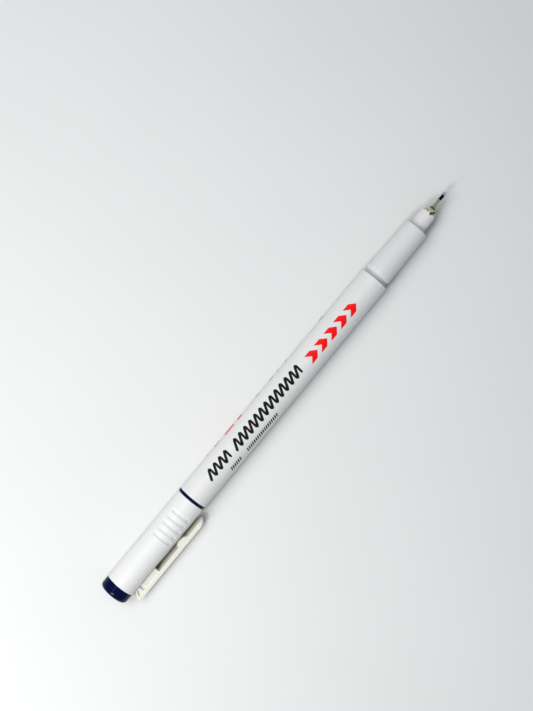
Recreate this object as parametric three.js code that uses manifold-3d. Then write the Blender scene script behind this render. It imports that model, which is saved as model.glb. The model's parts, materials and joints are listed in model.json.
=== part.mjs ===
// A slim capped writing pen: fibre-fed chisel nib in a brass tube, white tubular barrel, and a push-on cap with a
// side clip, shown with the cap posted on the barrel's tail. Millimetres, +Z up, the pen lying along X with its
// writing tip towards +X, resting on its round side and on the edge of its clip.
import * as THREE from "three";
import { mergeVertices } from "three/addons/utils/BufferGeometryUtils.js";
import Module from "manifold-3d";

const wasm = await Module();
wasm.setup();

// ---------------------------------------------------------------- driving dimensions
// Stations along the pen, from the flat end of the cap (0) to the writing tip.
const CAP_TOP_LENGTH = 3.8; // the coloured end piece that shows
const CAP_MOUTH = 38.45; // where the posted cap ends
const RING_WIDTH = 0.85; // the coloured flange between cap and barrel
const BARREL_END = 128.0; // the shoulder that the cap closes against
const GRIP_END = 148.6;
const NOSE_END = 154.8;
const TUBE_END = 160.1;
const TIP = 163.1;

const BODY_RADIUS = 4.95; // cap, ring and barrel are flush
const CAP_TOP_RADIUS = 4.88; // a hair smaller than the cap it plugs
const BARREL_BORE = 3.95;
const GRIP_REAR_RADIUS = 4.45;
const GRIP_FRONT_RADIUS = 4.1;
const NOSE_RADIUS = 2.68;
const NIB_RADIUS = 0.5;

const POST_LENGTH = 12; // how deep the tail sits in the posted cap
const END_GAP = 0.1; // left between two faces that meet end to end
const SLIP = 0.08; // radial clearance of a plugged-in fit

const CLIP_WIDTH = 4;
const CLIP_START = 3.7;
const CLIP_END = 36.2;
const CLIP_ROOT = 14.7; // front of the clip's foot, where the arm starts to bend
const CLIP_OUTER = 8.05; // distance of the arm's outer face from the pen's axis
const CLIP_THICKNESS = 1.38;

const OUTER_SIDES = 48; // facets round the outer pieces
const INNER_SIDES = 32; // facets round the hidden ones
const ARC_STEPS = 4; // chords in a small rounded edge

// The pen lies on a facet, and the clip stands out sideways and droops until its edge meets the table too.
const AXIS_HEIGHT = BODY_RADIUS * Math.cos(Math.PI / OUTER_SIDES);
const CLIP_DROOP =
  Math.asin(AXIS_HEIGHT / Math.hypot(CLIP_OUTER, CLIP_WIDTH / 2)) - Math.atan2(CLIP_WIDTH / 2, CLIP_OUTER);
const CLIP_TURN = Math.PI / 2 + CLIP_DROOP; // turns "up" towards the clip's side of the pen

// ---------------------------------------------------------------- materials
function plastic(color, roughness) {
  return new THREE.MeshStandardMaterial({ color, roughness, metalness: 0 });
}
const whitePlastic = plastic(0xf1f2f2, 0.28);
const clipPlastic = plastic(0xf3f2ea, 0.32);
const navyPlastic = plastic(0x06124a, 0.16);
const linerPlastic = plastic(0xe4e6e4, 0.55);
const nibPlastic = plastic(0x0a0b2c, 0.6);
const fibre = plastic(0x1b2358, 0.95);
const film = plastic(0xdfe3ea, 0.2);
const brass = new THREE.MeshStandardMaterial({ color: 0xb89c5a, roughness: 0.35, metalness: 1 });

// ---------------------------------------------------------------- solids
// Merges the shared vertices of a geometry and makes a solid of it.
function solidOf(geometry) {
  const bare = geometry.clone();
  bare.deleteAttribute("normal");
  bare.deleteAttribute("uv");
  const merged = mergeVertices(bare, 1e-4);
  return new wasm.Manifold(
    new wasm.Mesh({
      numProp: 3,
      vertProperties: new Float32Array(merged.attributes.position.array),
      triVerts: new Uint32Array(merged.index.array),
    }),
  );
}

function geometryOf(solid) {
  const mesh = solid.getMesh();
  return new THREE.BufferGeometry()
    .setAttribute("position", new THREE.BufferAttribute(mesh.vertProperties, 3))
    .setIndex(new THREE.BufferAttribute(mesh.triVerts, 1));
}

// Points of a quarter round from (x0, r0) to (x1, r1), bulging away from the corner (cx, cr) that it turns about.
function roundEdge([x0, r0], [x1, r1], [cx, cr]) {
  const points = [];
  for (let i = 0; i <= ARC_STEPS; i += 1) {
    const turn = (i / ARC_STEPS) * (Math.PI / 2);
    const from = Math.cos(turn);
    const to = Math.sin(turn);
    points.push([cx + (x0 - cx) * from + (x1 - cx) * to, cr + (r0 - cr) * from + (r1 - cr) * to]);
  }
  return points;
}

// A body of revolution about the pen's axis from an outline of [station, radius] points, listed with the outside
// first, from the rear to the front. An outline that doesn't meet the axis at both ends closes on itself.
// Each facet, and not each corner, faces down, so that the pen lies on a flat.
function turned(outline, sides) {
  const onAxis = outline[0][1] === 0 && outline.at(-1)[1] === 0;
  const closed = onAxis ? outline : [...outline, outline[0]];
  const points = closed.map(([x, r]) => new THREE.Vector2(r, x));
  return new THREE.LatheGeometry(points, sides, Math.PI / sides).rotateZ(-Math.PI / 2);
}

// A flat outline of [x, radial distance] points as a slab of that width, centred on the clip's middle plane.
function slab(outline, width) {
  const shape = new THREE.Shape(outline.map(([x, r]) => new THREE.Vector2(x, r)));
  return new THREE.ExtrudeGeometry(shape, { depth: width, bevelEnabled: false, curveSegments: 8 })
    .rotateX(Math.PI / 2)
    .translate(0, width / 2, 0);
}

function part(name, geometry, material) {
  const mesh = new THREE.Mesh(geometry, material);
  mesh.name = name;
  return mesh;
}

// ---------------------------------------------------------------- cap
const BORE_AT_MOUTH = 4.5;
const BORE_DRAFT = 0.0075; // the bore narrows this much per millimetre of depth
const capBore = (x) => BORE_AT_MOUTH - BORE_DRAFT * (CAP_MOUTH - x);
const SNAP_BEAD = 0.08; // height of the bead inside the mouth

const GROOVES = 5;
const GROOVE_START = 23.3;
const GROOVE_PITCH = 2.27;
const GROOVE_WIDTH = 1.36;
const GROOVE_DEPTH = 0.18;
const GROOVE_ANGLES = [58.4, 145.4]; // degrees from the clip, the same on both sides of it

const FOOT_WIDTH = 2.4; // the clip's two feet, which reach through the wall
const FOOT_DEPTH = 4.3; // distance of a foot's end from the axis
const FOOT_SLACK = 0.15;
const FEET = [
  [5.9, 6.9],
  [8.4, 14.5],
];

// One finger groove: an arc-shaped cutter with round ends.
function grooveCutter(x, from, to) {
  const floor = BODY_RADIUS - GROOVE_DEPTH;
  const top = BODY_RADIUS + 1;
  const endTurn = GROOVE_WIDTH / 2 / BODY_RADIUS;
  const shape = new THREE.Shape();
  shape.absarc(0, 0, top, from + endTurn, to - endTurn, false);
  shape.absarc(0, 0, floor, to - endTurn, from + endTurn, true);
  // The arc lies in the plane across the pen, with angle 0 at the clip.
  const bar = new THREE.ExtrudeGeometry(shape, { depth: GROOVE_WIDTH, bevelEnabled: false, curveSegments: 10 })
    .rotateY(-Math.PI / 2)
    .translate(x + GROOVE_WIDTH, 0, 0);
  let cutter = solidOf(bar);
  for (const angle of [from + endTurn, to - endTurn]) {
    const end = new THREE.CylinderGeometry(GROOVE_WIDTH / 2, GROOVE_WIDTH / 2, top - floor, 12)
      .rotateX(Math.PI / 2)
      .translate(x + GROOVE_WIDTH / 2, 0, (top + floor) / 2)
      .rotateX(-angle);
    cutter = cutter.add(solidOf(end));
  }
  return cutter;
}

function capShell() {
  const rim = 0.15;
  const outline = [
    [CAP_TOP_LENGTH + END_GAP, BODY_RADIUS],
    [CAP_MOUTH - rim, BODY_RADIUS],
    [CAP_MOUTH, BODY_RADIUS - rim],
    [CAP_MOUTH, BORE_AT_MOUTH + 0.05],
    [CAP_MOUTH - 0.4, BORE_AT_MOUTH - SNAP_BEAD],
    [CAP_MOUTH - 1, BORE_AT_MOUTH - SNAP_BEAD],
    [CAP_MOUTH - 1.4, capBore(CAP_MOUTH - 1.4)],
    [CAP_TOP_LENGTH + END_GAP, capBore(CAP_TOP_LENGTH)],
  ];
  let shell = solidOf(turned(outline, OUTER_SIDES).rotateX(-CLIP_TURN));
  const [nearest, furthest] = GROOVE_ANGLES.map(THREE.MathUtils.degToRad);
  for (let i = 0; i < GROOVES; i += 1) {
    const x = GROOVE_START + i * GROOVE_PITCH;
    shell = shell.subtract(grooveCutter(x, nearest, furthest));
    shell = shell.subtract(grooveCutter(x, -furthest, -nearest));
  }
  for (const [from, to] of FEET) {
    const slot = new THREE.BoxGeometry(to - from + 2 * FOOT_SLACK, FOOT_WIDTH + 2 * FOOT_SLACK, 4);
    shell = shell.subtract(solidOf(slot.translate((from + to) / 2, 0, BODY_RADIUS)));
  }
  return geometryOf(shell);
}

// The coloured top: a hollow button whose spigot plugs into the shell.
function capTop() {
  const fillet = 1.35;
  const flat = CAP_TOP_RADIUS - fillet;
  const spigotEnd = 7.5;
  const spigotRadius = capBore(CAP_TOP_LENGTH) - SLIP;
  return turned(
    [
      [0, 0],
      [0, flat],
      ...roundEdge([0, flat], [fillet, CAP_TOP_RADIUS], [fillet, flat]).slice(1),
      [CAP_TOP_LENGTH, CAP_TOP_RADIUS],
      [CAP_TOP_LENGTH, spigotRadius],
      [spigotEnd - 0.3, spigotRadius - 0.04],
      [spigotEnd, spigotRadius - 0.25],
      [spigotEnd, 3.2],
      [3.4, 2.9],
      [1.3, 2.7],
      [1.3, 0],
    ],
    OUTER_SIDES,
  );
}

// The soft inner cap that closes on the nose and keeps the nib wet.
function innerCap() {
  const flange = capBore(8) - 0.12;
  return turned(
    [
      [1.7, 0],
      [1.7, 1.6],
      [2.1, 2.0],
      [7.7, 2.1],
      [7.7, flange],
      [9.1, flange],
      [9.1, 3.3],
      [10.3, 3.8],
      [17.2, 3.8],
      [17.4, 3.6],
      [17.4, 3.2],
      [16.6, 2.95], // sealing lip
      [15.8, 3.15],
      [12.0, 3.15],
      [10.2, 2.45],
      [9.6, 1.4],
      [2.9, 1.2],
      [2.6, 0],
    ],
    INNER_SIDES,
  );
}

// ---------------------------------------------------------------- clip
const CLIP_TAPER = 0.2; // the arm's far end comes this much closer to the cap
const clipOuter = (x) => CLIP_OUTER - (CLIP_TAPER * (x - CLIP_START)) / (CLIP_END - CLIP_START);
const clipInner = (x) => clipOuter(x) - CLIP_THICKNESS;

// The foot block: a full-width strip on two full-width posts, with a narrower web between them.
function clipMount() {
  const webWidth = 1.8;
  const seat = BODY_RADIUS + 0.02; // the posts stand just clear of the cap
  const strip = slab(
    [
      [CLIP_START, clipInner(CLIP_START)],
      [CLIP_ROOT, clipInner(CLIP_ROOT)],
      [CLIP_ROOT, clipOuter(CLIP_ROOT)],
      [CLIP_START, clipOuter(CLIP_START)],
    ],
    CLIP_WIDTH,
  );
  const web = slab(
    [
      [CLIP_START, clipInner(CLIP_START) + 0.2],
      [5.4, seat],
      [CLIP_ROOT, seat],
      [CLIP_ROOT, clipInner(CLIP_ROOT) + 0.2],
    ],
    webWidth,
  );
  let mount = solidOf(strip).add(solidOf(web));
  for (const [from, to] of [
    [5.8, 7],
    [8.2, CLIP_ROOT],
  ]) {
    const post = new THREE.BoxGeometry(to - from, CLIP_WIDTH, CLIP_OUTER - 0.5 - seat);
    mount = mount.add(solidOf(post.translate((from + to) / 2, 0, (CLIP_OUTER - 0.5 + seat) / 2)));
  }
  for (const [from, to] of FEET) {
    const foot = new THREE.BoxGeometry(to - from, FOOT_WIDTH, seat + 0.5 - FOOT_DEPTH);
    mount = mount.add(solidOf(foot.translate((from + to) / 2, 0, (seat + 0.5 + FOOT_DEPTH) / 2)));
  }
  return geometryOf(mount);
}

// The springy arm, with a round end and a gripping bump that nearly touches the cap.
function clipArm() {
  const start = CLIP_ROOT + 0.3;
  const side = slab(
    [
      [start, clipOuter(start)],
      [start, clipInner(start)],
      [CLIP_END, clipInner(CLIP_END)],
      [CLIP_END, clipOuter(CLIP_END) - 0.35],
      [CLIP_END - 1.6, clipOuter(CLIP_END - 1.6)],
    ],
    CLIP_WIDTH,
  );
  const half = CLIP_WIDTH / 2;
  const plan = new THREE.Shape();
  plan.moveTo(start, -half);
  plan.lineTo(CLIP_END - half, -half);
  plan.absarc(CLIP_END - half, 0, half, -Math.PI / 2, Math.PI / 2, false);
  plan.lineTo(start, half);
  const column = new THREE.ExtrudeGeometry(plan, { depth: 2 * CLIP_OUTER, bevelEnabled: false, curveSegments: 10 });
  return geometryOf(solidOf(side).intersect(solidOf(column)).add(clipBump()));
}

// The bump is narrower than the arm, steep towards the arm's root and long towards its end.
function clipBump() {
  const from = 24.1;
  const to = 28.5;
  const top = 5.55;
  const width = 2.2;
  const rise = new THREE.SplineCurve([
    new THREE.Vector2(from, clipInner(from)),
    new THREE.Vector2(from + 0.8, top + 0.25),
    new THREE.Vector2(from + 1.7, top),
    new THREE.Vector2(to - 1.2, top + 0.5),
    new THREE.Vector2(to, clipInner(to)),
  ]);
  const buried = clipInner(to) + 0.3;
  return solidOf(slab([[from, buried], ...rise.getPoints(10).map((p) => [p.x, p.y]), [to, buried]], width));
}

// ---------------------------------------------------------------- barrel
const RING_START = CAP_MOUTH + END_GAP;
const BARREL_START = RING_START + RING_WIDTH + END_GAP / 2;

function barrel() {
  const edge = 0.12;
  return turned(
    [
      [BARREL_START, BODY_RADIUS],
      [BARREL_END - edge, BODY_RADIUS],
      [BARREL_END, BODY_RADIUS - edge],
      [BARREL_END, BARREL_BORE],
      [BARREL_START, BARREL_BORE],
    ],
    OUTER_SIDES,
  );
}

// The coloured tail: a closed post that carries the cap, a flange that shows as a ring, and a hollow spigot.
function tailPlug() {
  const tailEnd = CAP_MOUTH - POST_LENGTH;
  const fillet = 0.6;
  const endRadius = 4.31;
  const rootRadius = 4.38;
  const spigotRadius = BARREL_BORE - SLIP;
  const spigotEnd = BARREL_START + 6;
  return turned(
    [
      [tailEnd, 0],
      [tailEnd, endRadius - fillet],
      ...roundEdge(
        [tailEnd, endRadius - fillet],
        [tailEnd + fillet, endRadius],
        [tailEnd + fillet, endRadius - fillet],
      ).slice(1),
      [CAP_MOUTH - 2, rootRadius],
      [CAP_MOUTH - 1.5, rootRadius - 0.12], // neck that the cap's snap bead sits in
      [RING_START, rootRadius - 0.12],
      [RING_START, BODY_RADIUS],
      [RING_START + RING_WIDTH, BODY_RADIUS],
      [RING_START + RING_WIDTH, spigotRadius],
      [spigotEnd - 0.3, spigotRadius],
      [spigotEnd, spigotRadius - 0.3],
      [spigotEnd, 3.0],
      [tailEnd + 1.4, 2.9],
      [tailEnd + 1.4, 0],
    ],
    OUTER_SIDES,
  );
}

// ---------------------------------------------------------------- front section
function gripSection() {
  const spigotStart = BARREL_END - 10.7;
  const spigotRadius = BARREL_BORE - SLIP;
  const neckRadius = 4.2;
  const neckEnd = BARREL_END + 3.3;
  const septum = [GRIP_END - 10.9, GRIP_END - 9.4];
  const edge = 0.2;
  return turned(
    [
      [spigotStart, spigotRadius - 0.3],
      [spigotStart + 0.5, spigotRadius],
      [BARREL_END + END_GAP / 2, spigotRadius],
      [BARREL_END + END_GAP / 2, neckRadius],
      [neckEnd - 0.2, GRIP_REAR_RADIUS - 0.03],
      [neckEnd, GRIP_REAR_RADIUS],
      [GRIP_END - edge, GRIP_FRONT_RADIUS],
      ...roundEdge(
        [GRIP_END - edge, GRIP_FRONT_RADIUS],
        [GRIP_END, GRIP_FRONT_RADIUS - edge],
        [GRIP_END - edge, GRIP_FRONT_RADIUS - edge],
      ).slice(1),
      [GRIP_END, NOSE_RADIUS + SLIP],
      [septum[1], NOSE_RADIUS + SLIP],
      [septum[1], 1.6],
      [septum[0], 1.6],
      [septum[0], 3.0],
      [spigotStart, 3.0],
    ],
    OUTER_SIDES,
  );
}

const SLEEVE_START = NOSE_END - 5.2; // the brass holder's sleeve, inside the nose
const SLEEVE_RADIUS = 1.8;

function noseCone() {
  const start = GRIP_END - 9.2;
  const taperStart = NOSE_END - 1.3;
  const taperRadius = NOSE_RADIUS - 0.06;
  const frontRadius = 2.27;
  const ogive = [0.35, 0.65, 0.88].map((share) => [
    taperStart + share * (NOSE_END - taperStart),
    taperRadius - (taperRadius - frontRadius) * share ** 2,
  ]);
  const outline = [
    [start, NOSE_RADIUS - 0.3],
    [start + 0.3, NOSE_RADIUS],
    [GRIP_END, NOSE_RADIUS],
    [taperStart, taperRadius],
    ...ogive,
    [NOSE_END, frontRadius],
    [NOSE_END, SLEEVE_RADIUS + SLIP],
    [SLEEVE_START - 0.2, SLEEVE_RADIUS + SLIP],
    [SLEEVE_START - 0.2, 1.5],
    [start, 1.5],
  ];
  // The vent notch is a short slot in the nose's front edge, a little to the clip's side of the top.
  const notch = new THREE.CylinderGeometry(0.5, 0.5, 3, 16)
    .rotateX(Math.PI / 2)
    .translate(NOSE_END, 0, NOSE_RADIUS + 0.6)
    .rotateX(THREE.MathUtils.degToRad(12));
  return geometryOf(solidOf(turned(outline, OUTER_SIDES)).subtract(solidOf(notch)));
}

// Brass: the flanged nib holder and the tube that carries the nib.
const FLANGE_START = NOSE_END + END_GAP / 2;
const TUBE_RADIUS = 0.57;

function nibHolder() {
  const hole = TUBE_RADIUS + 0.05;
  return turned(
    [
      [SLEEVE_START, SLEEVE_RADIUS],
      [FLANGE_START, SLEEVE_RADIUS],
      [FLANGE_START, 2.2],
      [FLANGE_START + 0.8, 2.15],
      [FLANGE_START + 1.0, 1.95],
      [FLANGE_START + 1.1, 1.2],
      [FLANGE_START + 1.9, 0.95],
      [FLANGE_START + 2, hole],
      [FLANGE_START - 0.6, hole],
      [FLANGE_START - 0.9, 1.45],
      [SLEEVE_START, 1.45],
    ],
    INNER_SIDES,
  );
}

function nibTube() {
  const start = SLEEVE_START + 1;
  return turned(
    [
      [start, TUBE_RADIUS],
      [TUBE_END - 0.12, TUBE_RADIUS],
      [TUBE_END, TUBE_RADIUS - 0.05],
      [TUBE_END, NIB_RADIUS + 0.03],
      [start, NIB_RADIUS + 0.03],
    ],
    24,
  );
}

// The nib: a thin rod ground to a chisel, whose wide flat faces up in the lying pose.
const NIB_START = SLEEVE_START - 2.6;
function nib() {
  const rod = turned(
    [
      [NIB_START, 0],
      [NIB_START, NIB_RADIUS - 0.05],
      [NIB_START + 0.2, NIB_RADIUS],
      [TIP, NIB_RADIUS],
      [TIP, 0],
    ],
    24,
  );
  const bevelStart = TIP - 1.15;
  const edgeHalf = 0.12;
  const side = new THREE.Shape([
    new THREE.Vector2(NIB_START - 1, -1),
    new THREE.Vector2(bevelStart, -1),
    new THREE.Vector2(bevelStart, -NIB_RADIUS),
    new THREE.Vector2(TIP, -edgeHalf),
    new THREE.Vector2(TIP, edgeHalf),
    new THREE.Vector2(bevelStart, NIB_RADIUS),
    new THREE.Vector2(bevelStart, 1),
    new THREE.Vector2(NIB_START - 1, 1),
  ]);
  const wedge = new THREE.ExtrudeGeometry(side, { depth: 2, bevelEnabled: false })
    .rotateX(Math.PI / 2)
    .translate(0, 1, 0);
  return geometryOf(solidOf(rod).intersect(solidOf(wedge)));
}

// ---------------------------------------------------------------- ink
const WICK_RADIUS = 1.4;
const WICK_START = BARREL_END - 18;
const RESERVOIR_START = BARREL_START + 7.5;
const RESERVOIR_END = BARREL_END - 11;
const RESERVOIR_RADIUS = 3.45;

function wick() {
  const end = NIB_START - 0.2;
  return turned(
    [
      [WICK_START, 0],
      [WICK_START, WICK_RADIUS],
      [end - 0.3, WICK_RADIUS],
      [end, WICK_RADIUS - 0.3],
      [end, 0],
    ],
    INNER_SIDES,
  );
}

function reservoir() {
  return turned(
    [
      [RESERVOIR_START, 0],
      [RESERVOIR_START, RESERVOIR_RADIUS],
      [RESERVOIR_END, RESERVOIR_RADIUS],
      [RESERVOIR_END, WICK_RADIUS + 0.1],
      [WICK_START - 0.3, WICK_RADIUS + 0.1],
      [WICK_START - 0.3, 0],
    ],
    INNER_SIDES,
  );
}

function reservoirFilm() {
  const inside = RESERVOIR_RADIUS + 0.05;
  const outside = inside + 0.15;
  return turned(
    [
      [RESERVOIR_START - 0.2, outside],
      [RESERVOIR_END + 0.2, outside],
      [RESERVOIR_END + 0.2, inside],
      [RESERVOIR_START - 0.2, inside],
    ],
    INNER_SIDES,
  );
}

// ---------------------------------------------------------------- assembly
// The box of the whole pen is centred over the origin, on the table.
const clipReach = CLIP_OUTER * Math.cos(CLIP_DROOP) + (CLIP_WIDTH / 2) * Math.sin(CLIP_DROOP);
const pen = new THREE.Group();
pen.position.set(-TIP / 2, (clipReach - AXIS_HEIGHT) / 2, AXIS_HEIGHT);

pen.add(
  part("cap_top", capTop(), navyPlastic),
  part("inner_cap", innerCap(), linerPlastic),
  part("barrel", barrel(), whitePlastic),
  part("tail_plug", tailPlug(), navyPlastic),
  part("grip_section", gripSection(), whitePlastic),
  part("nose_cone", noseCone(), whitePlastic),
  part("nib_holder", nibHolder(), brass),
  part("nib_tube", nibTube(), brass),
  part("nib", nib(), nibPlastic),
  part("feed_wick", wick(), fibre),
  part("ink_reservoir", reservoir(), fibre),
  part("reservoir_film", reservoirFilm(), film),
);

// Pieces drawn with the clip's side of the pen as "up", then turned to where the clip really points.
const clipSide = new THREE.Group();
clipSide.rotation.x = CLIP_TURN;
clipSide.add(
  part("cap_shell", capShell(), whitePlastic),
  part("clip_mount", clipMount(), clipPlastic),
  part("clip_arm", clipArm(), clipPlastic),
);
pen.add(clipSide);

const root = new THREE.Group();
root.add(pen);
export default root;
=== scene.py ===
import json
import math

import bmesh
import bpy
from mathutils import Matrix, Vector


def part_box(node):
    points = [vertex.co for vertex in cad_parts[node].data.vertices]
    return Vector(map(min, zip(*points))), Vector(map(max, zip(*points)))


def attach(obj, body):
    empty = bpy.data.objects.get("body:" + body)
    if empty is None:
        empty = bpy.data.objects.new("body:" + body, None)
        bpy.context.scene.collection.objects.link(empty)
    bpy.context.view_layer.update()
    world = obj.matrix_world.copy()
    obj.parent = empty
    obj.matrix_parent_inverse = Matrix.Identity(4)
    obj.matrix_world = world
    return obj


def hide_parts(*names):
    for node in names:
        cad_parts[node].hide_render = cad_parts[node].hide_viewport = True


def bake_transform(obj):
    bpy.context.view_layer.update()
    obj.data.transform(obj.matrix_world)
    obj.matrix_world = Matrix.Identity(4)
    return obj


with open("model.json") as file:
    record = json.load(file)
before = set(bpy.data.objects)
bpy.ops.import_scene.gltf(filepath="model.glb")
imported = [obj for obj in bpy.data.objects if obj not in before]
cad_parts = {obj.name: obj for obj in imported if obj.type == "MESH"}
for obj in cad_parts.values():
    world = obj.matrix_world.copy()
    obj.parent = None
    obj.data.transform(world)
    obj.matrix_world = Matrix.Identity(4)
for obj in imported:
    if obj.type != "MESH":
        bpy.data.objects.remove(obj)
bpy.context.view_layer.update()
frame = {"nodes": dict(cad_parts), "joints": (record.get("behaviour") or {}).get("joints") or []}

scene = bpy.context.scene
MM = 0.001
TAU = 2 * math.pi

# ------------------------------------------------------------------ places, in millimetres, from the frame
# Stations run along the pen from the flat end of its cap; radii are measured from its axis.
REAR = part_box("cap_top")[0].x
barrel_low, barrel_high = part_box("barrel")
AXIS = Vector((REAR, (barrel_low.y + barrel_high.y) / 2, (barrel_low.z + barrel_high.z) / 2))


def station(x):
    return (x - REAR) / MM


def ends(node):
    low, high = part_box(node)
    return station(low.x), station(high.x)


def radius(node):
    low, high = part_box(node)
    return (high.z - low.z) / 2 / MM


joints = {joint["name"]: joint for joint in frame["joints"]}
BODY = radius("barrel") + 0.01
CAP_START, CAP_MOUTH = ends("cap_shell")
SPIGOT_END = ends("cap_top")[1]
TAIL_START, TAIL_SPIGOT_END = ends("tail_plug")
BARREL_START, BARREL_END = ends("barrel")
GRIP_SPIGOT, GRIP_END = ends("grip_section")
NOSE_START, NOSE_END = ends("nose_cone")
SLEEVE_START, HUB_END = ends("nib_holder")
TUBE_START, TUBE_END = ends("nib_tube")
NIB_START, TIP = ends("nib")
INNER_START, INNER_END = ends("inner_cap")
CLIP_START, CLIP_ROOT = ends("clip_mount")
CLIP_END = ends("clip_arm")[1]

# The clip's hinge runs along its width, which gives the clip's own directions.
CLIP_SIDE = -Vector(joints["clip_flex"]["axis"]).normalized()
CLIP_OUT = Vector((1, 0, 0)).cross(CLIP_SIDE)
CLIP_WIDTH = 4.0
CLIP_OUTER = 8.05
CLIP_THICKNESS = 1.38
TOP_TURN = math.atan2(CLIP_SIDE.z, CLIP_OUT.z)  # how far the top of the pen is from the clip


def place(x, r, angle):
    """The point at that station and radius, its angle measured from the clip over the top of the pen."""
    return AXIS + MM * (Vector((x, 0, 0)) + r * (math.cos(angle) * CLIP_OUT + math.sin(angle) * CLIP_SIDE))


# ------------------------------------------------------------------ camera
CAMERA_STATION = 88.15  # the point of the pen that it stands over
CAMERA_ASIDE = 10.56  # to the side away from the clip
CAMERA_HEIGHT = 415  # above the pen's axis
CAMERA_LENS = 67.25  # for a frame 36 mm high
PEN_TILT = math.radians(50.34)  # the pen's direction in the picture, above the horizontal


def add_camera():
    data = bpy.data.cameras.new("camera")
    data.sensor_width = 36
    data.lens = CAMERA_LENS
    data.clip_start = 0.01
    camera = bpy.data.objects.new("camera", data)
    scene.collection.objects.link(camera)
    right = Vector((math.cos(PEN_TILT), -math.sin(PEN_TILT), 0))
    up = Vector((math.sin(PEN_TILT), math.cos(PEN_TILT), 0))
    turn = Matrix((right, up, right.cross(up))).transposed().to_4x4()
    spot = AXIS + MM * Vector((CAMERA_STATION, CAMERA_ASIDE, CAMERA_HEIGHT))
    camera.matrix_world = Matrix.Translation(spot) @ turn
    scene.camera = camera


add_camera()


# ------------------------------------------------------------------ meshes
def rounded(corners, closed, steps=5):
    """A smooth outline from (station, radius, fillet) corners, as (station, radius) points."""
    points = []
    count = len(corners)
    for i, (x, r, fillet) in enumerate(corners):
        here = Vector((x, r))
        if fillet == 0 or (not closed and i in (0, count - 1)):
            points.append(here)
            continue
        back = Vector(corners[i - 1][:2]) - here
        ahead = Vector(corners[(i + 1) % count][:2]) - here
        half = back.angle(ahead) / 2
        cut = min(fillet / math.tan(half), 0.5 * back.length, 0.5 * ahead.length)
        middle = (back.normalized() + ahead.normalized()).normalized()
        centre = here + middle * (cut / math.cos(half))
        start = here + back.normalized() * cut - centre
        end = here + ahead.normalized() * cut - centre
        sweep = math.atan2(start.cross(end), start.dot(end))
        for k in range(steps + 1):
            points.append(centre + Matrix.Rotation(sweep * k / steps, 2) @ start)
    return points


def spaced(points, closed, longest, edge=0.12):
    """The same outline with points added beside each corner and along long stretches, to shade evenly."""
    result = []
    count = len(points)
    for i, here in enumerate(points):
        result.append(here)
        if i == count - 1 and not closed:
            break
        there = points[(i + 1) % count]
        length = (there - here).length
        if length < 4 * edge:
            continue
        pieces = max(1, math.ceil((length - 2 * edge) / longest))
        for k in range(pieces + 1):
            share = (edge + (length - 2 * edge) * k / pieces) / length
            result.append(here.lerp(there, share))
    return result


def finish_mesh(name, bm, sharp=None):
    bmesh.ops.remove_doubles(bm, verts=bm.verts, dist=1e-7)
    bmesh.ops.recalc_face_normals(bm, faces=bm.faces)
    mesh = bpy.data.meshes.new(name)
    bm.to_mesh(mesh)
    bm.free()
    mesh.shade_smooth()
    if sharp:
        mesh.set_sharp_from_angle(angle=math.radians(sharp))
    piece = bpy.data.objects.new(name, mesh)
    scene.collection.objects.link(piece)
    return piece


def turned(name, corners, closed=False, sides=96, longest=4.0, shift=None):
    """A body of revolution about the pen's axis. shift(x, r, angle) moves points along it and outwards."""
    outline = spaced(rounded(corners, closed), closed, longest)
    bm = bmesh.new()
    rings = []
    for x, r in outline:
        if r < 1e-6:
            rings.append([bm.verts.new(place(x, 0, 0))] * sides)
            continue
        ring = []
        for k in range(sides):
            angle = TAU * k / sides
            dx, dr = shift(x, r, angle) if shift else (0, 0)
            ring.append(bm.verts.new(place(x + dx, r + dr, angle)))
        rings.append(ring)
    if closed:
        rings.append(rings[0])
    for one, two in zip(rings, rings[1:]):
        for k in range(sides):
            n = (k + 1) % sides
            loop = list(dict.fromkeys((one[k], two[k], two[n], one[n])))
            if len(loop) > 2:
                bm.faces.new(loop)
    return finish_mesh(name, bm)


def smoothstep(value):
    value = min(1, max(0, value))
    return value * value * (3 - 2 * value)


# ------------------------------------------------------------------ materials
# Where the band of painted shade at the tube's foot lies, and the dark brown it shares with the flange's
# spots.
JOINT_SHADE_STATION = HUB_END - 0.2
DARK_BROWN = (0.075, 0.045, 0.018)


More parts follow.
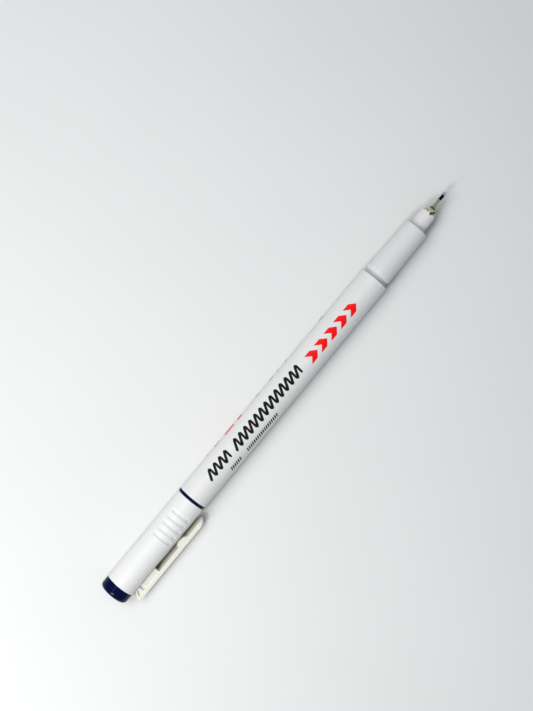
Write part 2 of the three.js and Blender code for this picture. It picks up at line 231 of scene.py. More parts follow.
class Nodes:
    """Short ways to add and join the nodes of one material."""

    def __init__(self, name=None, material=None):
        self.material = material or bpy.data.materials.new(name)
        self.material.use_nodes = True
        self.tree = self.material.node_tree
        self.shader = self.tree.nodes["Principled BSDF"]

    def add(self, kind, **settings):
        node = self.tree.nodes.new(kind)
        for key, value in settings.items():
            if hasattr(node, key):
                setattr(node, key, value)
            else:
                node.inputs[key.replace("_", " ")].default_value = value
        return node

    def link(self, source, target):
        self.tree.links.new(source, target)

    def place(self, scale):
        """Object coordinates in millimetres, stretched by scale."""
        coordinates = self.add("ShaderNodeTexCoord")
        mapping = self.add("ShaderNodeMapping")
        mapping.inputs["Scale"].default_value = [s / MM for s in scale]
        self.link(coordinates.outputs["Object"], mapping.inputs["Vector"])
        return mapping.outputs["Vector"]

    def noise(self, scale, detail=3.0, roughness=0.55, distortion=0.0):
        node = self.add("ShaderNodeTexNoise", Scale=1.0, Detail=detail, Roughness=roughness)
        node.inputs["Distortion"].default_value = distortion
        self.link(self.place(scale), node.inputs["Vector"])
        return node.outputs["Fac"]

    def span(self, value, low, high, from_low=0.3, from_high=0.7):
        node = self.add("ShaderNodeMapRange")
        limits = {"From Min": from_low, "From Max": from_high, "To Min": low, "To Max": high}
        for key, number in limits.items():
            node.inputs[key].default_value = number
        self.link(value, node.inputs["Value"])
        return node.outputs["Result"]

    def band(self, x, half, soft):
        """1 in a band round the pen at station x, falling to 0 over its soft edges."""
        split = self.add("ShaderNodeSeparateXYZ")
        self.link(self.place((1, 1, 1)), split.inputs[0])
        along = self.add("ShaderNodeMath", operation="SUBTRACT")
        self.link(split.outputs["X"], along.inputs[0])
        along.inputs[1].default_value = x + REAR / MM
        away = self.add("ShaderNodeMath", operation="ABSOLUTE")
        self.link(along.outputs[0], away.inputs[0])
        return self.span(away.outputs[0], 1, 0, half, half + soft)

    def spot(self, x, y, z, reach, soft):
        """1 near a point, given by its station and its offsets from the axis, and 0 beyond its soft edge."""
        away = self.add("ShaderNodeVectorMath", operation="DISTANCE")
        self.link(self.place((1, 1, 1)), away.inputs[0])
        away.inputs[1].default_value = AXIS / MM + Vector((x, y, z))
        return self.span(away.outputs["Value"], 1, 0, reach, reach + soft)

    def along(self, direction):
        """How far the surface lies from the pen's axis in that direction, in millimetres."""
        dot = self.add("ShaderNodeVectorMath", operation="DOT_PRODUCT")
        self.link(self.place((1, 1, 1)), dot.inputs[0])
        dot.inputs[1].default_value = direction
        offset = self.add("ShaderNodeMath", operation="SUBTRACT")
        self.link(dot.outputs["Value"], offset.inputs[0])
        offset.inputs[1].default_value = AXIS.dot(direction) / MM
        return offset.outputs[0]

    def mix(self, share, one, two):
        node = self.add("ShaderNodeMix", data_type="RGBA")
        for index, colour in ((6, one), (7, two)):
            if isinstance(colour, tuple):
                node.inputs[index].default_value = (*colour, 1)
            else:
                self.link(colour, node.inputs[index])
        self.link(share, node.inputs[0])
        return node.outputs[2]

    def bump(self, *layers):
        """Each layer is (height, millimetres deep)."""
        normal = None
        for height, depth in layers:
            node = self.add("ShaderNodeBump")
            node.inputs["Strength"].default_value = 1
            node.inputs["Distance"].default_value = depth * MM
            self.link(height, node.inputs["Height"])
            if normal:
                self.link(normal, node.inputs["Normal"])
            normal = node.outputs["Normal"]
        self.link(normal, self.shader.inputs["Normal"])

    def set(self, **values):
        for key, value in values.items():
            self.shader.inputs[key.replace("_", " ")].default_value = value


def moulded(name, light, dark, smooth, dull, subsurface=0.0, scuffs=0.35):
    """Moulded plastic: a faint mottle, flow lines along the pen, hairline scuffs and an uneven gloss."""
    n = Nodes(name)
    mottle = n.noise((0.12, 0.4, 0.4), detail=4)
    n.link(n.mix(n.span(mottle, 0, 1), light, dark), n.shader.inputs["Base Color"])
    flow = n.noise((0.25, 2.2, 2.2), detail=5, roughness=0.6)
    scuff = n.noise((0.9, 9, 9), detail=6, roughness=0.7, distortion=0.4)
    worn = n.add("ShaderNodeMath", operation="MULTIPLY")
    n.link(n.span(scuff, 0, 1, 0.52, 0.7), worn.inputs[0])
    n.link(n.span(mottle, 0, scuffs, 0.4, 0.65), worn.inputs[1])
    rough = n.add("ShaderNodeMath", operation="ADD", use_clamp=True)
    n.link(n.span(flow, smooth, dull), rough.inputs[0])
    n.link(worn.outputs[0], rough.inputs[1])
    n.link(rough.outputs[0], n.shader.inputs["Roughness"])
    grain = n.noise((14, 14, 14), detail=2)
    n.bump((flow, 0.012), (grain, 0.0016))
    n.set(IOR=1.49, Subsurface_Weight=subsurface, Subsurface_Scale=0.6 * MM)
    n.shader.inputs["Subsurface Radius"].default_value = (1.0, 0.8, 0.5)
    return n.material


def ivory_with_painted_shade():
    """The clip's ivory plastic, with painted shade: dark brown low down on the side that faces the cap."""
    light, dark = (0.715, 0.71, 0.65), (0.695, 0.685, 0.62)
    material = moulded("ivory_plastic", light, dark, 0.26, 0.36, subsurface=0.35)
    n = Nodes(material=material)
    base_colour = n.shader.inputs["Base Color"].links[0].from_socket
    low = n.span(n.along(CLIP_SIDE), 1, 0, -1.7, 0.4)
    inner_face = CLIP_OUTER - CLIP_THICKNESS
    inner = n.span(n.along(CLIP_OUT), 1, 0, inner_face + 0.1, inner_face + 0.5)
    painted_shade_mask = n.add("ShaderNodeMath", operation="MULTIPLY")
    n.link(low, painted_shade_mask.inputs[0])
    n.link(inner, painted_shade_mask.inputs[1])
    # Painted shade: dark brown mixed in low on the arm's inner face, where the shade between clip and cap
    # falls.
    n.link(n.mix(painted_shade_mask.outputs[0], base_colour, (0.30, 0.24, 0.11)), n.shader.inputs["Base Color"])
    return material


def grip_with_painted_shade():
    """The grip's white plastic, with painted shade: a darker band in the hollow of its neck."""
    light, dark = (0.58, 0.585, 0.59), (0.565, 0.57, 0.575)
    material = moulded("white_grip_plastic", light, dark, 0.34, 0.46, subsurface=0.1)
    n = Nodes(material=material)
    base_colour = n.shader.inputs["Base Color"].links[0].from_socket
    # Painted shade: the neck band is darkened where the barrel's end shades the hollow.
    neck = n.band(BARREL_END + 0.7, 0.65, 0.25)
    n.link(n.mix(neck, base_colour, (0.47, 0.485, 0.505)), n.shader.inputs["Base Color"])
    return material


def turned_brass():
    """Turned brass: fine rings, tarnish, painted shade on the tube and at its foot, and dark brown spots on
    the flange.
    """
    n = Nodes("turned_brass")
    tarnish = n.noise((1.6, 1.6, 1.6), detail=5, roughness=0.65)
    worn = n.span(tarnish, 0, 1, 0.35, 0.68)
    bright = n.mix(worn, (0.88, 0.81, 0.60), (0.54, 0.46, 0.28))
    # Painted shade: dull is a darker copy of the brass, laid over the tube.
    dull = n.mix(worn, (0.52, 0.48, 0.35), (0.34, 0.29, 0.18))
    painted_tube_shade = n.band((HUB_END + TUBE_END) / 2, (TUBE_END - HUB_END) / 2, 0.2)
    base_colour = n.mix(painted_tube_shade, bright, dull)
    # Painted shade: a dark band at the tube's foot, where the hub meets it.
    colour = n.mix(n.band(JOINT_SHADE_STATION, 0.16, 0.22), base_colour, DARK_BROWN)
    # Dark brown spots at two points on the flange.
    for x, y in ((NOSE_END + 0.1, -0.6), (NOSE_END + 0.75, -1.25)):
        top = math.sqrt(1.9 ** 2 - y ** 2)
        colour = n.mix(n.spot(x, y, top, 0.36, 0.14), colour, DARK_BROWN)
    n.link(colour, n.shader.inputs["Base Color"])
    n.link(n.span(tarnish, 0.17, 0.42), n.shader.inputs["Roughness"])
    rings = n.noise((26, 0.3, 0.3), detail=2)
    n.bump((rings, 0.0018), (tarnish, 0.003))
    n.set(Metallic=0.8)
    return n.material


def printed(name, colour, thin):
    """Pad-printed ink: slightly uneven cover, with pinholes where it is thin."""
    n = Nodes(name)
    cover = n.noise((3.5, 3.5, 3.5), detail=5, roughness=0.7)
    n.link(n.mix(n.span(cover, 0, 1, 0.6, 0.78), colour, thin), n.shader.inputs["Base Color"])
    n.link(n.span(cover, 0.28, 0.42), n.shader.inputs["Roughness"])
    n.bump((cover, 0.004),)
    n.set(IOR=1.5, Specular_IOR_Level=0.2)
    return n.material


def stained_fibre(name, light, dark, rough=0.75):
    """Bundled fibres running along the pen, stained by ink."""
    n = Nodes(name)
    strands = n.noise((0.8, 16, 16), detail=4, roughness=0.6)
    n.link(n.mix(n.span(strands, 0, 1), dark, light), n.shader.inputs["Base Color"])
    n.link(n.span(strands, rough, 0.95), n.shader.inputs["Roughness"])
    n.bump((strands, 0.02),)
    return n.material


def wrapping_film():
    n = Nodes("wrapping_film")
    crinkle = n.noise((0.3, 1.4, 1.4), detail=4)
    colour = n.mix(n.span(crinkle, 0, 1), (0.70, 0.73, 0.78), (0.60, 0.64, 0.70))
    n.link(colour, n.shader.inputs["Base Color"])
    n.link(n.span(crinkle, 0.12, 0.3), n.shader.inputs["Roughness"])
    n.bump((crinkle, 0.03),)
    return n.material


def pale_table():
    """A smooth, pale, faintly mottled table top, with painted light: much paler beyond the reach of the
    lights.
    """
    n = Nodes("pale_table")
    cloud = n.noise((0.012, 0.012, 0.012), detail=4)
    near = n.mix(n.span(cloud, 0, 1), (0.620, 0.622, 0.626), (0.605, 0.607, 0.611))
    far = n.mix(n.span(cloud, 0, 1), (0.93, 0.93, 0.94), (0.90, 0.90, 0.91))
    # Painted light: far is a much paler copy of the table, laid on beyond the lights' reach.
    beyond = n.spot(-AXIS.x / MM, 0, 0, 240, 500)
    n.link(n.mix(beyond, far, near), n.shader.inputs["Base Color"])
    n.link(n.span(n.noise((0.4, 0.4, 0.4)), 0.52, 0.56), n.shader.inputs["Roughness"])
    grain = n.noise((1.5, 1.5, 1.5), detail=3)
    n.bump((grain, 0.002),)
    n.set(IOR=1.4)
    return n.material


def white_plastic(name, grey, subsurface):
    mottled = grey - 0.015
    return moulded(name, (grey, grey, grey), (mottled, mottled, mottled), 0.24, 0.34, subsurface)


# The cap, barrel, grip and nose are one white plastic; their different greys are painted light and shade.
white = white_plastic("white_plastic", 0.64, 0.12)
white_barrel = white_plastic("white_barrel_plastic", 0.61, 0.1)
white_grip = grip_with_painted_shade()
white_nose = white_plastic("white_nose_plastic", 0.62, 0.1)
ivory = ivory_with_painted_shade()
navy = moulded("navy_plastic", (0.0006, 0.0028, 0.032), (0.0005, 0.0022, 0.026), 0.08, 0.14, scuffs=0.1)
Nodes(material=navy).set(Specular_IOR_Level=0.13)
natural = moulded("natural_plastic", (0.78, 0.79, 0.77), (0.74, 0.75, 0.73), 0.45, 0.55, subsurface=0.3)
brass = turned_brass()
nib_body = stained_fibre("stained_nib", (0.002, 0.002, 0.018), (0.001, 0.001, 0.008), rough=0.45)
Nodes(material=nib_body).set(Specular_IOR_Level=0.06)
# Painted sheen: the nib's ground face is the same dark fibre, coloured light grey-violet where it catches the
# light.
painted_sheen_nib_face = stained_fibre("ground_nib_face", (0.39, 0.38, 0.45), (0.27, 0.26, 0.34), rough=0.4)
inked_fibre = stained_fibre("inked_fibre", (0.03, 0.05, 0.16), (0.008, 0.012, 0.06))
red_print = printed("red_print", (0.72, 0.003, 0.003), (0.78, 0.12, 0.11))
black_print = printed("black_print", (0.004, 0.004, 0.006), (0.10, 0.10, 0.11))
grey_print = printed("grey_print", (0.09, 0.09, 0.10), (0.25, 0.25, 0.26))


def dress(piece, material, slot, body, *nodes):
    piece.data.materials.append(material)
    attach(piece, body)
    if nodes:
        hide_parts(*nodes)
    return piece


# ------------------------------------------------------------------ cap
BORE_AT_MOUTH = 4.5
BORE_DRAFT = 0.0075
GROOVES = 5
GROOVE_START = 23.3
GROOVE_PITCH = 2.27
GROOVE_WIDTH = 1.36
GROOVE_DEPTH = 0.2
GROOVE_WALL = 0.25
GROOVE_ANGLES = (math.radians(58.4), math.radians(145.4))


def bore(x):
    return BORE_AT_MOUTH - BORE_DRAFT * (CAP_MOUTH - x)


def groove_shift(x, r, angle):
    """Sinks the finger grooves into the cap: round-ended slots across it, on both sides of the clip."""
    if r < BODY - 0.05:
        return 0, 0
    turn = min(angle, TAU - angle)
    half = GROOVE_WIDTH / 2
    along = round((x - GROOVE_START - half) / GROOVE_PITCH)
    along = min(GROOVES - 1, max(0, along))
    dx = x - (GROOVE_START + half + along * GROOVE_PITCH)
    low, high = (a * BODY for a in GROOVE_ANGLES)
    arc = turn * BODY
    beyond = max(low + half - arc, arc - (high - half), 0)
    inside = half - math.hypot(dx, beyond)
    return 0, -GROOVE_DEPTH * smoothstep(inside / GROOVE_WALL)


def cap_shell():
    low = CAP_START
    fine_low, fine_high = GROOVE_START - 0.6, GROOVE_START + GROOVES * GROOVE_PITCH + 0.3
    fine = [(fine_low + 0.1 * k, BODY, 0) for k in range(math.ceil((fine_high - fine_low) / 0.1))]
    corners = [
        (low, BODY, 0.08),
        *fine,
        (CAP_MOUTH, BODY, 0.16),
        (CAP_MOUTH, BORE_AT_MOUTH + 0.05, 0.1),
        (CAP_MOUTH - 0.4, BORE_AT_MOUTH - 0.08, 0.1),
        (CAP_MOUTH - 1, BORE_AT_MOUTH - 0.08, 0.1),
        (CAP_MOUTH - 1.4, bore(CAP_MOUTH - 1.4), 0.1),
        (low, bore(low), 0.05),
    ]
    piece = turned("cap_shell_moulding", corners, closed=True, sides=288, shift=groove_shift)
    return dress(piece, white, "white_plastic", "cap", "cap_shell")


def cap_top():
    """The navy end piece: a filleted button with a shallow dish and a moulding pip in its flat end."""
    flat_radius = radius("cap_top")
    spigot = bore(CAP_START) - 0.08
    corners = [
        (0.28, 0, 0),
        (0.28, 0.42, 0.05),
        (0.34, 0.55, 0.05),
        (0.30, 1.1, 0.2),
        (0.10, 1.9, 0.3),
        (0.0, 2.1, 0.2),
        (0.0, flat_radius, 1.3),
        (CAP_START - 0.1, flat_radius, 0.1),
        (CAP_START - 0.1, spigot, 0.05),
        (SPIGOT_END, spigot - 0.1, 0.25),
        (SPIGOT_END, 3.2, 0.1),
        (3.4, 2.9, 0.2),
        (1.3, 2.7, 0.3),
        (1.3, 0, 0),
    ]
    piece = turned("cap_top_button", corners, sides=128, longest=1.0)
    return dress(piece, navy, "navy_plastic", "cap", "cap_top")


def inner_cap():
    """A narrow closed stem, a flange that holds in the bore, and a wide mouth with a sealing lip."""
    flange_start = INNER_START + 6
    flange_end = flange_start + 1.4
    flange = bore(flange_start + 0.3) - 0.12
    mouth, inside, lip = 3.8, 3.15, 2.95
    corners = [
        (INNER_START, 0, 0),
        (INNER_START, 1.9, 0.4),
        (flange_start, 2.1, 0.3),
        (flange_start, flange, 0.15),
        (flange_end, flange, 0.15),
        (flange_end, mouth - 0.5, 0.1),
        (flange_end + 1.2, mouth, 0.3),
        (INNER_END, mouth, 0.2),
        (INNER_END, inside + 0.05, 0.15),
        (INNER_END - 0.8, lip, 0.15),
        (INNER_END - 1.6, inside, 0.2),
        (INNER_END - 5.4, inside, 0.4),
        (INNER_END - 7.2, 2.45, 0.4),
        (INNER_END - 7.8, 1.4, 0.2),
        (INNER_START + 1.2, 1.2, 0.3),
        (INNER_START + 0.9, 0, 0),
    ]
    piece = turned("inner_cap_moulding", corners)
    return dress(piece, natural, "liner_plastic", "cap_core", "inner_cap")


# ------------------------------------------------------------------ clip
# It is modelled in millimetres as (station, outwards, sideways) and then put in place.
CLIP_TAPER = 0.2
WEB_HALF_WIDTH = 1.2
CLIP_VOXEL = 0.06


def clip_outer(x):
    return CLIP_OUTER - CLIP_TAPER * (x - CLIP_START) / (CLIP_END - CLIP_START)


def clip_inner(x):
    return clip_outer(x) - CLIP_THICKNESS


def slab(outline, half_width, edge, segments=3, side=0.0):
    """A closed slab of that side outline with all its edges rounded, as a temporary mesh in millimetres."""
    bm = bmesh.new()
    base = [bm.verts.new((x, r, side - half_width)) for x, r in outline]
    face = bm.faces.new(base)
    lifted = bmesh.ops.extrude_face_region(bm, geom=[face])["geom"]
    for vert in (v for v in lifted if isinstance(v, bmesh.types.BMVert)):
        vert.co.z += 2 * half_width
    bmesh.ops.recalc_face_normals(bm, faces=bm.faces)
    sharp = [e for e in bm.edges if e.calc_face_angle(0) > math.radians(35)]
    bmesh.ops.bevel(bm, geom=sharp, offset=edge, segments=segments, profile=0.5, affect="EDGES")
    mesh = bpy.data.meshes.new("slab")
    bm.to_mesh(mesh)
    bm.free()
    return mesh


def fused(name, meshes, voxel, smoothing):
    """One skin round several overlapping closed meshes, as if they had been moulded together."""
    bm = bmesh.new()
    for mesh in meshes:
        bm.from_mesh(mesh)
        bpy.data.meshes.remove(mesh)
    joined = bpy.data.meshes.new(name)
    bm.to_mesh(joined)
    bm.free()
    piece = bpy.data.objects.new(name, joined)
    scene.collection.objects.link(piece)
    remesh = piece.modifiers.new("remesh", "REMESH")
    remesh.mode = "VOXEL"
    remesh.voxel_size = voxel
    smooth = piece.modifiers.new("smooth", "SMOOTH")
    smooth.iterations = smoothing
    smooth.factor = 0.5
    bpy.context.view_layer.update()
    graph = bpy.context.evaluated_depsgraph_get()
    mesh = bpy.data.meshes.new_from_object(piece.evaluated_get(graph))
    piece.modifiers.clear()
    piece.data = mesh
    mesh.shade_smooth()
    return piece


def clip_arm_mesh():
    """The arm, thinned and rounded at its free end."""
    half = CLIP_WIDTH / 2
    tip_length = 2.9
    bm = bmesh.new()
    rings = []
    edge = 0.1
    stations = [CLIP_START, CLIP_START + 0.08, CLIP_START + 0.25]
    stations += [CLIP_START + 1 + k for k in range(int(CLIP_END - tip_length - CLIP_START - 1))]
    stations += [CLIP_END - tip_length * (1 - math.sin(math.pi / 2 * k / 12)) for k in range(13)]
    for x in stations:
        into_tip = max(0, (x - (CLIP_END - tip_length)) / tip_length)
        pull = math.sqrt(max(0.0009, 1 - into_tip ** 2.2))
        start_pull = 0.08 * (1 - smoothstep((x - CLIP_START) / 0.25))
        width = half * pull - start_pull
        inner = clip_inner(x) + start_pull + 0.06 * into_tip ** 2
        outer = clip_outer(x) - start_pull - 0.75 * into_tip ** 2.4
        round_edge = min(edge, 0.45 * (outer - inner), 0.8 * width)
        ring = []
        for cx, cr, first in (
            (width - round_edge, outer - round_edge, 0),
            (round_edge - width, outer - round_edge, 1),
            (round_edge - width, inner + round_edge, 2),
            (width - round_edge, inner + round_edge, 3),
        ):
            for k in range(4):
                turn = math.pi / 2 * (first + k / 3)
                out = cr + round_edge * math.sin(turn)
                aside = cx + round_edge * math.cos(turn)
                ring.append(bm.verts.new((x, out, aside)))
        rings.append(ring)
    for one, two in zip(rings, rings[1:]):
        for k in range(len(one)):
            n = (k + 1) % len(one)
            bm.faces.new((one[k], one[n], two[n], two[k]))
    bm.faces.new(rings[0])
    bm.faces.new(reversed(rings[-1]))
    bmesh.ops.recalc_face_normals(bm, faces=bm.faces)
    mesh = bpy.data.meshes.new("arm")
    bm.to_mesh(mesh)
    bm.free()
    return mesh


def clip_bump_mesh():
    """The rounded bump inside the arm, steeper towards the clip's root."""
    start, peak, end = CLIP_END - 12.1, CLIP_END - 10.3, CLIP_END - 7.6
    height = 1.0
    outline = [(start, clip_inner(start) + 0.4)]
    for k in range(13):
        x = start + (end - start) * k / 12
        share = (peak - x) / (peak - start) if x < peak else (x - peak) / (end - peak)
        outline.append((x, clip_inner(x) - height * (1 - share ** 2) ** 0.85))
    outline.append((end, clip_inner(end) + 0.4))
    return slab(outline, 1.1, 0.16)


def clip():
    """One moulding: the arm and its bump, two posts into the cap, a brace behind them and a web between."""
    seat = BODY - 0.12
    post_half = CLIP_WIDTH / 2 - 0.14
    top = clip_inner(CLIP_START) + 0.5
    posts = [(CLIP_START + 2.1, CLIP_START + 3.3), (CLIP_START + 4.5, CLIP_ROOT)]
    meshes = [clip_arm_mesh(), clip_bump_mesh()]
    for low, high in posts:
        meshes.append(slab([(low, seat), (high, seat), (high, top), (low, top)], post_half, 0.14))
    brace = [
        (CLIP_START + 0.1, top),
        (CLIP_START + 0.1, top - 0.5),
        (CLIP_START + 1.55, seat),
        (CLIP_START + 2.05, seat),
        (CLIP_START + 0.55, top),
    ]
    meshes.append(slab(brace, post_half, 0.08))
    web = [
        (CLIP_START + 0.4, top),
        (CLIP_START + 1.8, seat),
        (CLIP_ROOT - 0.4, seat),
        (CLIP_ROOT - 0.4, top),
    ]
    meshes.append(slab(web, WEB_HALF_WIDTH, 0.08))
    piece = fused("clip_moulding", meshes, CLIP_VOXEL, smoothing=1)
    for vert in piece.data.vertices:
        x, out, side = vert.co
        vert.co = AXIS + MM * (Vector((x, 0, 0)) + out * CLIP_OUT + side * CLIP_SIDE)
    piece.data.update()
    piece.data.materials.append(ivory)
    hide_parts("clip_mount", "clip_arm")
    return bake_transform(piece)


# ------------------------------------------------------------------ tail and barrel
def tail_plug():
    end_radius, root_radius = 4.31, 4.38
    neck = root_radius - 0.12
    ring_start = CAP_MOUTH + 0.1
    ring_end = BARREL_START - 0.05
    spigot = 3.87
    corners = [
        (TAIL_START + 0.25, 0, 0),
        (TAIL_START + 0.25, 0.4, 0.05),
        (TAIL_START + 0.12, 0.6, 0.1),
        (TAIL_START, 1.0, 0.1),
        (TAIL_START, end_radius, 0.7),
        (CAP_MOUTH - 2, root_radius, 0.2),
        (CAP_MOUTH - 1.5, neck, 0.2),
        (ring_start, neck, 0.03),
        (ring_start, BODY, 0.1),
        (ring_end, BODY, 0.1),
        (ring_end, spigot, 0.03),
        (TAIL_SPIGOT_END, spigot, 0.3),
        (TAIL_SPIGOT_END, 3.0, 0.1),
        (TAIL_START + 1.4, 2.9, 0.4),
        (TAIL_START + 1.4, 0, 0),
    ]
    return dress(turned("tail_plug_moulding", corners, sides=128), navy, "navy_plastic", "pen", "tail_plug")


def barrel():
    inside = 3.95
    corners = [
        (BARREL_START, BODY, 0.1),
        (BARREL_END, BODY, 0.22),
        (BARREL_END, inside, 0.08),
        (BARREL_START, inside, 0.08),
    ]
    piece = turned("barrel_tube", corners, closed=True, sides=128)
    return dress(piece, white_barrel, "barrel_plastic", "pen", "barrel")


# ------------------------------------------------------------------ front end
def grip_section():
    """A snap neck that flares out to the grip, which tapers gently to a rounded front edge."""
    spigot, neck, rear, front = 3.87, 3.98, 4.45, 4.1
    nose_bore, wick_bore, reservoir_bore = 2.76, 1.6, 3.0
    wall_front, wall_rear = GRIP_END - 9.4, GRIP_END - 10.9
    start = BARREL_END + 0.05
    corners = [
        (GRIP_SPIGOT, spigot - 0.05, 0.3),
        (start, spigot, 0.02),
        (start, neck, 0.05),
        (start + 1.3, neck, 0.15),
        (start + 1.6, rear - 0.12, 0.12),
        (start + 2.95, rear, 0.02),
        (start + 3.1, rear - 0.09, 0.04),
        (start + 3.3, rear - 0.01, 0.05),
        (GRIP_END - 8, (rear + front) / 2 - 0.02, 6),
        (GRIP_END, front, 0.2),
        (GRIP_END, nose_bore, 0.1),
        (wall_front, nose_bore, 0.1),
        (wall_front, wick_bore, 0.1),
        (wall_rear, wick_bore, 0.1),
        (wall_rear, reservoir_bore, 0.1),
        (GRIP_SPIGOT, reservoir_bore, 0.1),
    ]
    piece = turned("grip_moulding", corners, closed=True, sides=128, longest=1.5)
    return dress(piece, white_grip, "grip_plastic", "pen", "grip_section")


NOTCH_TURN = TOP_TURN - math.radians(16)
NOTCH_HALF_WIDTH = 0.5
NOTCH_DEPTH = 0.55


def notch_shift(x, r, angle):
    """Pulls the nose's front rim back at the vent notch."""
    into = smoothstep((x - (NOSE_END - 1.6)) / 1.6)
    across = abs(math.remainder(angle - NOTCH_TURN, TAU)) * r
    share = smoothstep(1.25 - across / NOTCH_HALF_WIDTH)
    return -NOTCH_DEPTH * into * share, 0


def nose_cone():
    rear, front, holder_bore, wick_bore = 2.68, 2.6, 1.9, 1.5
    step = SLEEVE_START - 0.2
    corners = [
        (NOSE_START, rear, 0.3),
        (GRIP_END, rear, 0),
        (NOSE_END, front, 0.4),
        (NOSE_END, holder_bore, 0.1),
        (step, holder_bore, 0.05),
        (step, wick_bore, 0.05),
        (NOSE_START, wick_bore, 0.1),
    ]
    piece = turned("nose_moulding", corners, closed=True, sides=192, longest=0.8, shift=notch_shift)
    return dress(piece, white_nose, "nose_plastic", "pen", "nose_cone")


FLANGE_START = NOSE_END + 0.05
SLOT_TURN = TOP_TURN - math.radians(34)
SLOT_HALF_WIDTH = 0.26
SLOT_DEPTH = 0.6


def slot_shift(x, r, angle):
    """Cuts a narrow air slot into the edge of the flange."""
    if x < FLANGE_START or r < 1.9:
        return 0, 0
    across = abs(math.remainder(angle - SLOT_TURN, TAU)) * r
    return 0, -SLOT_DEPTH * smoothstep(1.25 - across / SLOT_HALF_WIDTH)


def nib_holder():
    """A sleeve inside the nose, a slotted flange against its front and a small hub round the tube."""
    hole, sleeve, sleeve_bore = 0.62, 1.8, 1.45
    flange = FLANGE_START
    corners = [
        (SLEEVE_START, sleeve, 0.1),
        (flange, sleeve, 0.02),
        (flange, 2.2, 0.04),
        (flange + 0.8, 2.16, 0.1),
        (flange + 1.0, 1.95, 0.08),
        (flange + 1.1, 1.2, 0.15),
        (HUB_END, 0.95, 0.12),
        (HUB_END, hole, 0.02),
        (flange - 0.6, hole, 0.05),
        (flange - 0.9, sleeve_bore, 0.1),
        (SLEEVE_START, sleeve_bore, 0.1),
    ]
    piece = turned("nib_holder_turning", corners, closed=True, sides=192, longest=0.5, shift=slot_shift)
    return dress(piece, brass, "brass", "pen", "nib_holder")


def nib_tube():
    outside, inside = 0.57, 0.53
    corners = [
        (TUBE_START, outside, 0.05),
        (TUBE_END, outside, 0.09),
        (TUBE_END, inside, 0.02),
        (TUBE_START, inside, 0.02),
    ]
    piece = turned("nib_tube_drawn", corners, closed=True, sides=64, longest=1.0)
    return dress(piece, brass, "brass", "pen", "nib_tube")


def nib():
    """A rod ground from both sides to a chisel edge that lies level across the pen."""
    rod, bevel, edge_half = 0.5, 1.2, 0.09
    sides = 48
    bm = bmesh.new()
    rings = []
    stations = [NIB_START, NIB_START + 0.1, TUBE_END - 0.1, TUBE_END + 0.6, TIP - bevel - 0.15]
    stations += [TIP - bevel + bevel * k / 10 for k in range(11)]
    for x in stations:
        ground = max(0, (x - (TIP - bevel)) / bevel)
        limit = rod + (edge_half - rod) * ground
        narrowing = 1 - 0.12 * ground ** 2
        ring = []
        for k in range(sides):
            angle = TAU * k / sides
            across = rod * math.cos(angle) * narrowing
            up = max(-limit, min(limit, rod * math.sin(angle)))
            ring.append(bm.verts.new(AXIS + MM * Vector((x, across, up))))
        rings.append(ring)
    for one, two in zip(rings, rings[1:]):
        for k in range(sides):
            n = (k + 1) % sides
            face = bm.faces.new((one[k], one[n], two[n], two[k]))
            middle = face.calc_center_median()
            ground = station(middle.x) > TIP - bevel
            flat = abs(face.calc_center_median().z - AXIS.z) / MM
            share = max(0, (station(middle.x) - (TIP - bevel)) / bevel)
            on_face = flat > 0.93 * (rod + (edge_half - rod) * share)
            face.material_index = 1 if ground and on_face else 0
    bm.faces.new(rings[0])
    tip_face = bm.faces.new(rings[-1])
    tip_face.material_index = 1
    piece = finish_mesh("nib_rod", bm, sharp=28)
    dress(piece, nib_body, "nib_plastic", "pen", "nib")
    # The ground face and the tip carry the painted sheen.
    piece.data.materials.append(painted_sheen_nib_face)
    return piece


# ------------------------------------------------------------------ printed marks on the barrel
# Plain marks in place of the printing: chevrons, a chisel-pen wave, ticks and bars. Each is given by
# stations along the pen and distances round the barrel, from the pen's top towards the clip.
INK_BASE = 0.003
INK_HEIGHT = 0.016
CHEVRON_STATIONS = (95.1, 118.4)
WAVE_STATIONS = ((48.0, 57.9), (60.2, 92.0))
TICK_STATIONS = ((54.3, 59.6), (62.1, 76.9))
TICK_PITCH = 0.82
TICK_WIDTH = 0.46
SLANT = -0.3
EDGE_TURN = math.radians(-77)  # where the far marks start, round from the top
EDGE_DEPTH = 2.6
FAR_RED_BARS = ((52.0, 52.9, 0.1), (55.9, 58.1, 0.2), (60.9, 65.2, 0.8), (67.1, 69.0, 0.8))
FAR_GREY_BARS = ((75.9, 77.7), (82.7, 84.6), (86.2, 87.1), (90.4, 91.3), (106.8, 108.9))


def on_barrel(x, s, lift):
    return place(x, BODY + lift, TOP_TURN - s / BODY)


def film(name, strips, material, slot):
    """Thin ink on the barrel. Each strip is a grid of (station, distance round) points."""
    bm = bmesh.new()
    for strip in strips:
        layers = []
        for lift in (INK_BASE, INK_HEIGHT):
            layers.append([[bm.verts.new(on_barrel(x, s, lift)) for x, s in row] for row in strip])
        low, high = layers
        rows, columns = len(strip), len(strip[0])
        for i in range(rows - 1):
            for j in range(columns - 1):
                bm.faces.new((high[i][j], high[i + 1][j], high[i + 1][j + 1], high[i][j + 1]))
                bm.faces.new((low[i][j], low[i][j + 1], low[i + 1][j + 1], low[i + 1][j]))
        rim = [(i, 0) for i in range(rows)] + [(rows - 1, j) for j in range(1, columns)]
        rim += [(i, columns - 1) for i in range(rows - 2, -1, -1)]
        rim += [(0, j) for j in range(columns - 2, 0, -1)]
        for (a, b), (c, d) in zip(rim, rim[1:] + rim[:1]):
            bm.faces.new((low[a][b], low[c][d], high[c][d], high[a][b]))
    bmesh.ops.recalc_face_normals(bm, faces=bm.faces)
    mesh = bpy.data.meshes.new(name)
    bm.to_mesh(mesh)
    bm.free()
    piece = bpy.data.objects.new(name, mesh)
    scene.collection.objects.link(piece)
    return dress(piece, material, slot, "pen")


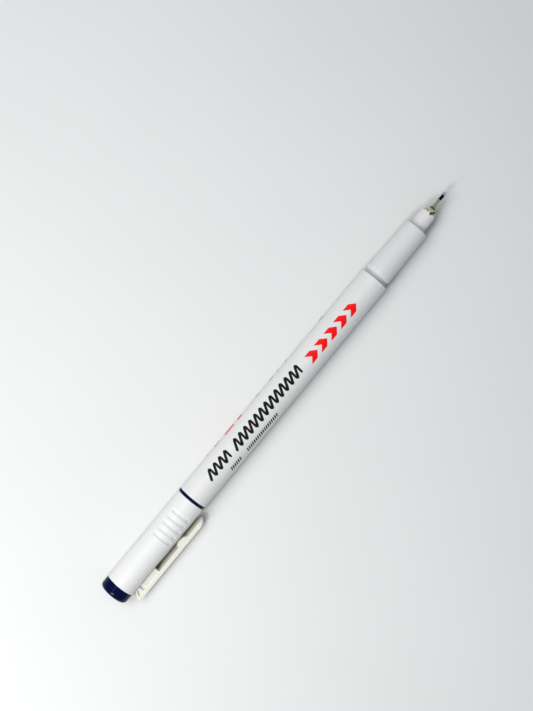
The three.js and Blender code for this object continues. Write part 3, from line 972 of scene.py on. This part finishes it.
def quad(corner_a, corner_b, corner_c, corner_d, rows=6, columns=3):
    """A grid across a four-cornered patch; a to b is its first edge and d to c its last."""
    a, b, c, d = (Vector(p) for p in (corner_a, corner_b, corner_c, corner_d))
    grid = []
    for i in range(rows + 1):
        left, right = a.lerp(d, i / rows), b.lerp(c, i / rows)
        grid.append([tuple(left.lerp(right, j / columns)) for j in range(columns + 1)])
    return grid


def chevrons(start, end, low, high, count):
    """Arrowheads along the pen, each made of two mirrored strokes."""
    pitch = (end - start) / count
    thick = pitch * 0.56
    reach = pitch * 0.40
    middle = (low + high) / 2
    strips = []
    for k in range(count):
        x = start + k * pitch
        for edge in (low, high):
            far = x + reach
            strips.append(quad((x, edge), (x + thick, edge), (far + thick, middle), (far, middle)))
    return strips


def pen_wave(start, end, middle, height, waves, slant):
    """The wave a chisel nib draws: thick where the stroke crosses the nib's edge, a hairline along it."""
    nib_width, hairline = 0.72, 0.16
    nib_turn = math.radians(38)
    steps = 28 * waves
    centre = []
    for k in range(steps + 1):
        phase = TAU * waves * k / steps
        s = math.cos(phase) * height / 2
        centre.append(Vector((start + (end - start) * k / steps + slant * s, middle + s)))
    strip = []
    for k, here in enumerate(centre):
        run = (centre[min(k + 1, steps)] - centre[max(k - 1, 0)]).normalized()
        across = abs(run.cross(Vector((math.cos(nib_turn), math.sin(nib_turn)))))
        half = (hairline + nib_width * across) / 2
        normal = Vector((-run.y, run.x)) * half
        strip.append([tuple(here + normal * share) for share in (-1, -0.5, 0, 0.5, 1)])
    return strip


def ticks(start, end, low, high):
    """A row of short slanting strokes."""
    strips = []
    count = round((end - start) / TICK_PITCH)
    lean = SLANT * (high - low)
    for k in range(count):
        left = start + k * TICK_PITCH
        right = left + TICK_WIDTH
        strips.append(quad((left, low), (right, low), (right + lean, high), (left + lean, high)))
    return strips


def bar(start, end, low, high):
    return quad((start, low), (end, low), (end, high), (start, high))


def prints():
    film("red_chevrons", chevrons(*CHEVRON_STATIONS, -1.3, 2.15, 5), red_print, "barrel_plastic")
    (short_start, short_end), (long_start, long_end) = WAVE_STATIONS
    waves = [
        pen_wave(short_start, short_end, -0.35, 3.0, 4, -0.35),
        pen_wave(long_start, long_end, -0.25, 3.2, 13, -0.35),
    ]
    film("black_pen_waves", waves, black_print, "barrel_plastic")
    small = []
    for start, end in TICK_STATIONS:
        small += ticks(start, end, 3.35, 4.75)
    film("black_ticks", small, black_print, "barrel_plastic")
    edge = BODY * EDGE_TURN
    red = [bar(start, end, edge + shown, edge - EDGE_DEPTH) for start, end, shown in FAR_RED_BARS]
    film("far_red_bars", red, red_print, "barrel_plastic")
    grey = [bar(start, end, edge, edge - EDGE_DEPTH) for start, end in FAR_GREY_BARS]
    film("far_grey_bars", grey, grey_print, "barrel_plastic")


# ------------------------------------------------------------------ floor and light
def floor():
    bm = bmesh.new()
    bmesh.ops.create_grid(bm, x_segments=8, y_segments=8, size=3.0)
    piece = finish_mesh("floor", bm)
    piece.data.materials.append(pale_table())


def softbox(name, towards, distance, size, power, colour=(1, 1, 1), across=None):
    """A soft light facing the middle of the table from that direction: round, or size long by across."""
    data = bpy.data.lights.new(name, "AREA")
    data.shape = "ELLIPSE" if across else "DISK"
    data.size = size
    if across:
        data.size_y = across
    data.energy = power
    data.color = colour
    lamp = bpy.data.objects.new(name, data)
    scene.collection.objects.link(lamp)
    back = Vector(towards).normalized()
    level = back.cross(Vector((1, 0, 0))).normalized()
    turn = Matrix((level.cross(back), level, back)).transposed().to_4x4()
    lamp.matrix_world = Matrix.Translation(back * distance) @ turn
    return lamp


def light():
    """A window behind the cap, a broad ceiling light, three small lamps for the glints, and a pale room."""
    world = bpy.data.worlds.new("studio")
    world.use_nodes = True
    world.node_tree.nodes["Background"].inputs["Color"].default_value = (0.87, 0.95, 1.0, 1)
    world.node_tree.nodes["Background"].inputs["Strength"].default_value = 0.32
    scene.world = world
    softbox("window", (-0.615, 0.045, 0.785), 0.43, 0.116, 0.835, (1.0, 0.99, 0.965))
    ceiling = softbox("ceiling", (-0.18, 0.37, 0.91), 0.46, 0.32, 1.31, (1.0, 0.995, 0.985))
    ceiling.visible_glossy = False
    softbox("front_lamp", (0.18, 0.06, 0.98), 0.6, 0.16, 0.12)
    softbox("strip_lamp", (-0.205, 0.304, 0.928), 0.6, 0.25, 0.11, across=0.03)
    softbox("low_lamp", (-0.80, 0.13, 0.56), 0.5, 0.03, 0.35, across=0.13)
    scene.view_settings.view_transform = "Standard"
    scene.view_settings.look = "None"


cap_shell()
cap_top()
inner_cap()
clip()
tail_plug()
barrel()
grip_section()
nose_cone()
nib_holder()
nib_tube()
nib()
prints()
hidden = {"feed_wick": inked_fibre, "ink_reservoir": inked_fibre, "reservoir_film": wrapping_film()}
for node, material in hidden.items():
    mesh = frame["nodes"][node].data
    mesh.materials.clear()
    mesh.materials.append(material)
floor()
light()
